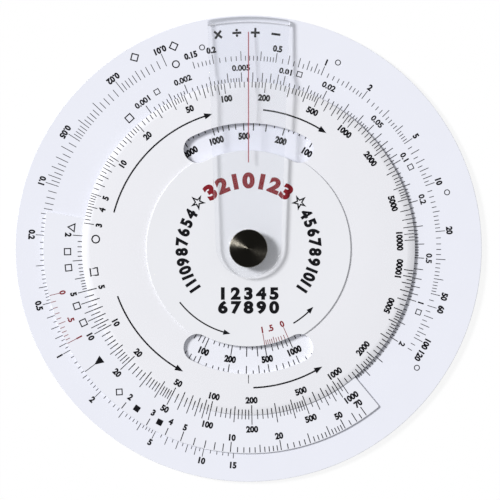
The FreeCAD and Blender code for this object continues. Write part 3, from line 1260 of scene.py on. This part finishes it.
# The turning tool left rings that lean outwards: a long flank up towards the middle and a short one down
def makeCap():
    radius = capHigh.x
    rest = capHigh.z - cap["ringDepth"]
    piece = makeDisc("cap", radius, capLow.z, rest - cap["chamfer"], sides=cap["sides"])
    pickFaces(piece, facesUp)
    bpy.ops.mesh.inset(thickness=cap["chamfer"], depth=cap["chamfer"])
    pickFaces(piece, facesDown)
    bpy.ops.mesh.inset(thickness=cap["skirt"])
    extrude(0, 0, cap["recess"])
    roundEdges(piece, cap["edgeRound"], sharp=30)
    pickFaces(piece, lambda face: facesUp(face) and face.center.z > rest - hair)
    pitch = (radius - cap["chamfer"] - cap["ringMargin"]) / (cap["rings"] + 0.5)
    for ring in range(cap["rings"]):
        bpy.ops.mesh.inset(thickness=pitch * cap["ringLean"], depth=cap["ringDepth"])
        bpy.ops.mesh.inset(thickness=pitch * (1 - cap["ringLean"]), depth=-cap["ringDepth"])
    smoothShade(piece)
    dressPiece(piece, "turned_cap", "pivot", turnedMetal("darkTurnedMetal", capLook),
               "dark_turned_metal", "pivot_cap")


screw = {
    "sides": 96,
    "headThick": 0.6 * mm,
    "slotWidth": 0.8 * mm,
    "slotDepth": 0.3 * mm,
    "shank": 1.27 * mm,
    "edgeRound": 0.08 * mm,
}


def makeScrew():
    low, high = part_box("back_screw")
    head = makeDisc("screw", high.x, low.z, low.z + screw["headThick"], sides=screw["sides"])
    pickFaces(head, facesUp)
    bpy.ops.mesh.inset(thickness=high.x - screw["shank"])
    extrude(0, 0, high.z - low.z - screw["headThick"])
    putDown()
    bpy.ops.mesh.primitive_cube_add(size=1, location=(0, 0, low.z))
    slot = bpy.context.object
    slot.scale = (3 * high.x, screw["slotWidth"], 2 * screw["slotDepth"])
    applyPlace(slot)
    cutWith(head, slot)
    roundEdges(head, screw["edgeRound"], segments=3)
    smoothShade(head)
    dressPiece(head, "slotted_screw", "pivot", turnedMetal("platedSteel", screwLook),
               "plated_steel", "back_screw")


makeCap()
makeScrew()
print("stage: pivot made")


# Finishes of the nodes that stay as they are

def dressNodes():
    film = milkyPlastic("slipFilm", filmLook)
    finishes = {
        "base_backing": printedPlastic("backing", baseHigh.x, roughness=0.5),
        "lower_slip_washer": film,
        "middle_slip_washer": film,
        "cap_slip_washer": film,
        "back_washer": film,
        "cursor_spacer": milkyPlastic("spacerPlastic", spacerLook),
        "wave_washer": turnedMetal("springSteel", springLook),
        "pivot_sleeve": turnedMetal("sleeveBrass", sleeveLook),
    }
    for node, material in finishes.items():
        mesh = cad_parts[node].data
        mesh.materials.clear()
        mesh.materials.append(material)


dressNodes()


# Floor, light and camera

studio = {
    "floorSize": 6.0,
    "floorGap": 0.02 * mm,
    "floorColour": (0.96, 0.96, 0.96, 1),
    "floorWhite": 0.88,
    "lampHeight": 43,
    "lampStrength": 3.1,
    "lampSpread": 16,
    "skyColour": (0.985, 0.99, 1.0, 1),
    "skyStrength": 0.37,
    "darkerReflected": 0.21,
    "pictureSide": 500,
    "pictureWidth": 128.65 * mm,
    "pivotPixel": (248.47, 248.5),
    "lens": 400,
    "sensor": 36,
    "clip": (0.01, 20),
}


def makeFloor():
    putDown()
    bpy.ops.mesh.primitive_plane_add(size=studio["floorSize"],
                                     location=(0, 0, cadBounds[0].z - studio["floorGap"]))
    floor = bpy.context.object
    floor.name = "floor"
    paint = Finish("floorPaint", colour=studio["floorColour"], roughness=0.8, specular=0.0)
    glow = paint.node("ShaderNodeEmission", {}, {0: (1, 1, 1, 1), 1: 1.0})
    share = paint.inSight() * studio["floorWhite"]
    paint.show(paint.node("ShaderNodeMixShader", {}, {0: share, 1: paint.shader, 2: glow}))
    floor.data.materials.append(paint.material)


def makeSky():
    world = bpy.data.worlds.new("sky")
    bpy.context.scene.world = world
    sky = Wiring(world, "ShaderNodeOutputWorld")
    strength = studio["skyStrength"] - sky.rayIs("Glossy") * studio["darkerReflected"]
    lit = sky.node("ShaderNodeBackground", {}, {0: studio["skyColour"], 1: strength})
    seen = sky.node("ShaderNodeBackground", {}, {0: (1, 1, 1, 1), 1: 1.0})
    sky.show(sky.node("ShaderNodeMixShader", {}, {0: sky.inSight(), 1: lit, 2: seen}))


def makeLamp():
    x, y = onDial(1, lampTurn)
    rise = math.radians(studio["lampHeight"])
    bpy.ops.object.light_add(type="SUN", location=(x * math.cos(rise), y * math.cos(rise), math.sin(rise)))
    lamp = bpy.context.object
    lamp.name = "softbox"
    lamp.data.energy = studio["lampStrength"]
    lamp.data.angle = math.radians(studio["lampSpread"])
    lamp.rotation_mode = "QUATERNION"
    lamp.rotation_quaternion = lamp.location.to_track_quat("Z", "Y")


def makeCamera():
    side = studio["pictureSide"]
    pixel = studio["pictureWidth"] / side
    pivotX, pivotY = studio["pivotPixel"]
    distance = studio["pictureWidth"] * studio["lens"] / studio["sensor"]
    place = ((side / 2 - pivotX) * pixel, (pivotY - side / 2) * pixel, distance + baseHigh.z)
    bpy.ops.object.camera_add(location=place, rotation=(0, 0, 0))
    camera = bpy.context.object
    camera.data.sensor_width = studio["sensor"]
    camera.data.lens = studio["lens"]
    camera.data.clip_start, camera.data.clip_end = studio["clip"]
    bpy.context.scene.camera = camera


makeFloor()
makeSky()
makeLamp()
makeCamera()
bpy.context.scene.view_settings.view_transform = "Standard"
print("stage: studio made")
